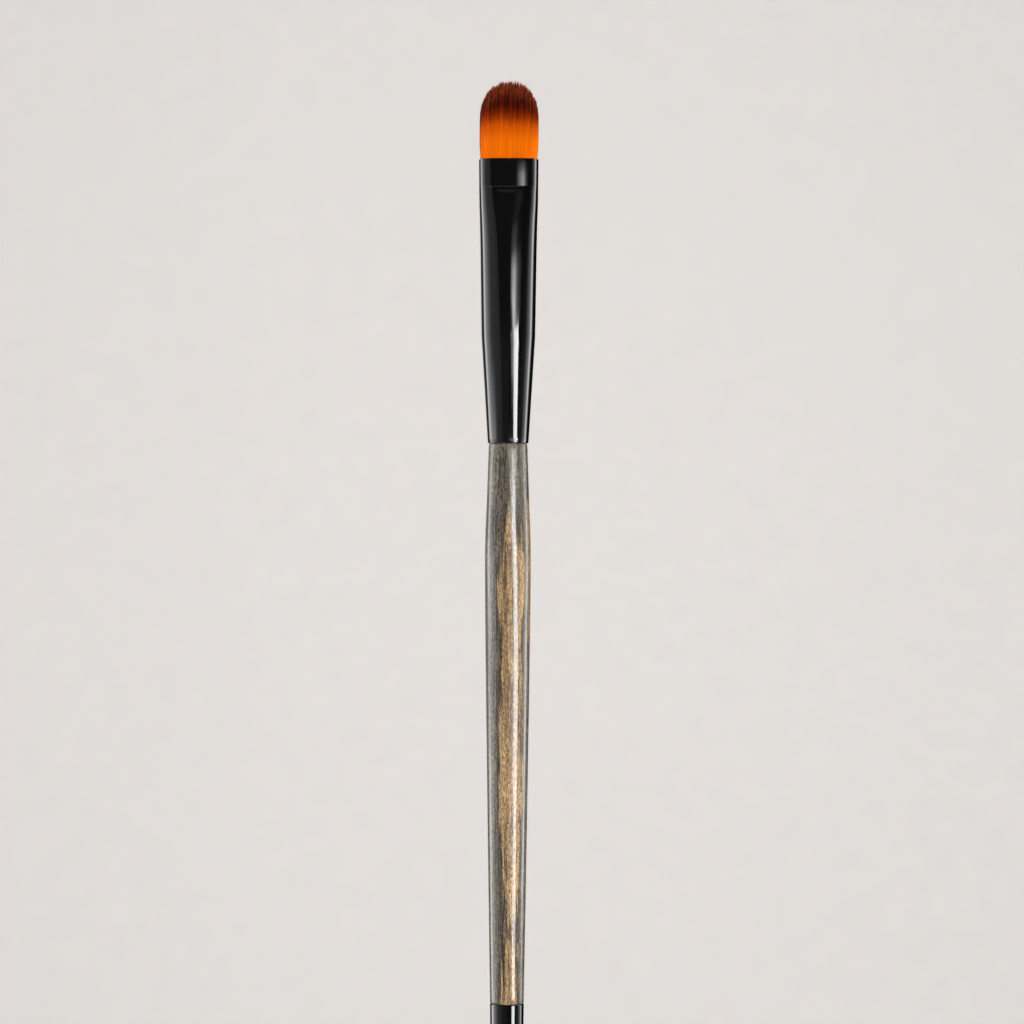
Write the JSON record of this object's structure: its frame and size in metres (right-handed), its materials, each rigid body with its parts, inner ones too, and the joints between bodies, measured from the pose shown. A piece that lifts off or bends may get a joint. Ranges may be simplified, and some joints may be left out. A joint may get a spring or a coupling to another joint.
{
  "type": "makeup brush",
  "caption": "Slender makeup brush with a flat, round-topped synthetic head, a gloss black ferrule pressed flat at the mouth, a stained wooden handle and a black end cap.",
  "frame": {"origin": "Centre of the footprint of the brush as it lies on its side, on the surface that it lies on", "axes": "+Y from the butt to the bristle tips, +Z out of the upper pressed flat of the ferrule, +X across the head"},
  "size_m": [0.0088, 0.1683, 0.0079],
  "materials": {
    "filament": "satin synthetic filament, orange with dark red-brown tips",
    "thread": "plain white thread",
    "epoxy": "cured amber epoxy",
    "ferrule_gloss": "gloss black lacquer on aluminium",
    "adhesive": "cured cream adhesive",
    "stained_wood": "grey-stained grain under clear gloss lacquer",
    "cap_gloss": "gloss black lacquer on aluminium"
  },
  "bodies": {
    "root": {"bristle_tuft": "filament", "binding_thread": "thread", "root_epoxy": "epoxy", "ferrule": "ferrule_gloss", "handle_adhesive": "adhesive", "handle": "stained_wood", "end_cap": "cap_gloss"}
  },
  "joints": []
}
